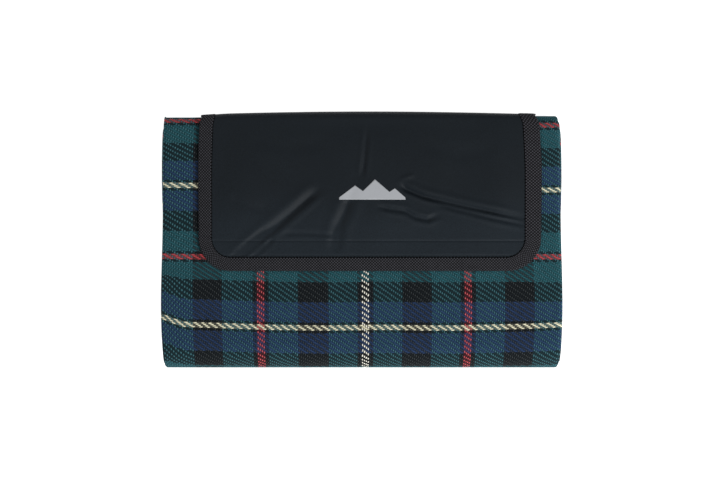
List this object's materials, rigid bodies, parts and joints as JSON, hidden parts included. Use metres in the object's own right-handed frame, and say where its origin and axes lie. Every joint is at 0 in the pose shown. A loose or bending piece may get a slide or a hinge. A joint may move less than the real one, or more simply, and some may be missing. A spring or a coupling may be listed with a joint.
{
  "type": "folded picnic blanket",
  "caption": "Quilted tartan camp blanket, gate-folded and rolled flat, held shut by a bound polyester flap with hook-and-loop tape.",
  "frame": {"origin": "centre of the footprint at the level of the underside, with the bundle lying on its back", "axes": "+X to the right of the front face, +Y towards the spine of the flap, +Z out of the front face"},
  "size_m": [0.3784, 0.2388, 0.0569],
  "materials": {
    "woven_tartan": "napped acrylic tartan twill in teal green, blue, black, red and cream",
    "wadding": "thin needled wadding, held flat between the two faces",
    "coated_backing": "coated waterproof backing, semi-matte",
    "twill_tape": "brown-black herringbone binding tape",
    "polyester_shell": "charcoal plain-weave polyester with a soft sheen",
    "polyester_lining": "black lining cloth",
    "hook_tape": "black moulded hook tape",
    "loop_tape": "black brushed loop tape",
    "print_film": "light grey heat-transfer film"
  },
  "bodies": {
    "rug": {"tartan_face": "woven_tartan", "wadding": "wadding", "waterproof_backing": "coated_backing", "hem_tape_first_side": "twill_tape", "hem_tape_second_side": "twill_tape", "hem_tape_inner_end": "twill_tape", "hem_tape_outer_end": "twill_tape", "back_panel": "polyester_shell", "back_panel_tape": "twill_tape", "closure_loop_strip": "loop_tape"},
    "spine": {"spine_shell": "polyester_shell", "spine_lining": "polyester_lining", "spine_tape_left": "twill_tape", "spine_tape_right": "twill_tape"},
    "cover": {"cover_shell": "polyester_shell", "cover_lining": "polyester_lining", "cover_tape": "twill_tape", "closure_hook_strip": "hook_tape", "emblem_transfer": "print_film"}
  },
  "joints": [
    {"name": "spine_fold", "type": "hinge", "parent": "rug", "child": "spine", "pos_m": [0.0065, 0.11877, 0.00065], "axis": [-1, 0, 0], "range_deg": [0, 90]},
    {"name": "cover_fold", "type": "hinge", "parent": "spine", "child": "cover", "pos_m": [0.0065, 0.11877, 0.05625], "axis": [-1, 0, 0], "range_deg": [0, 90]}
  ]
}
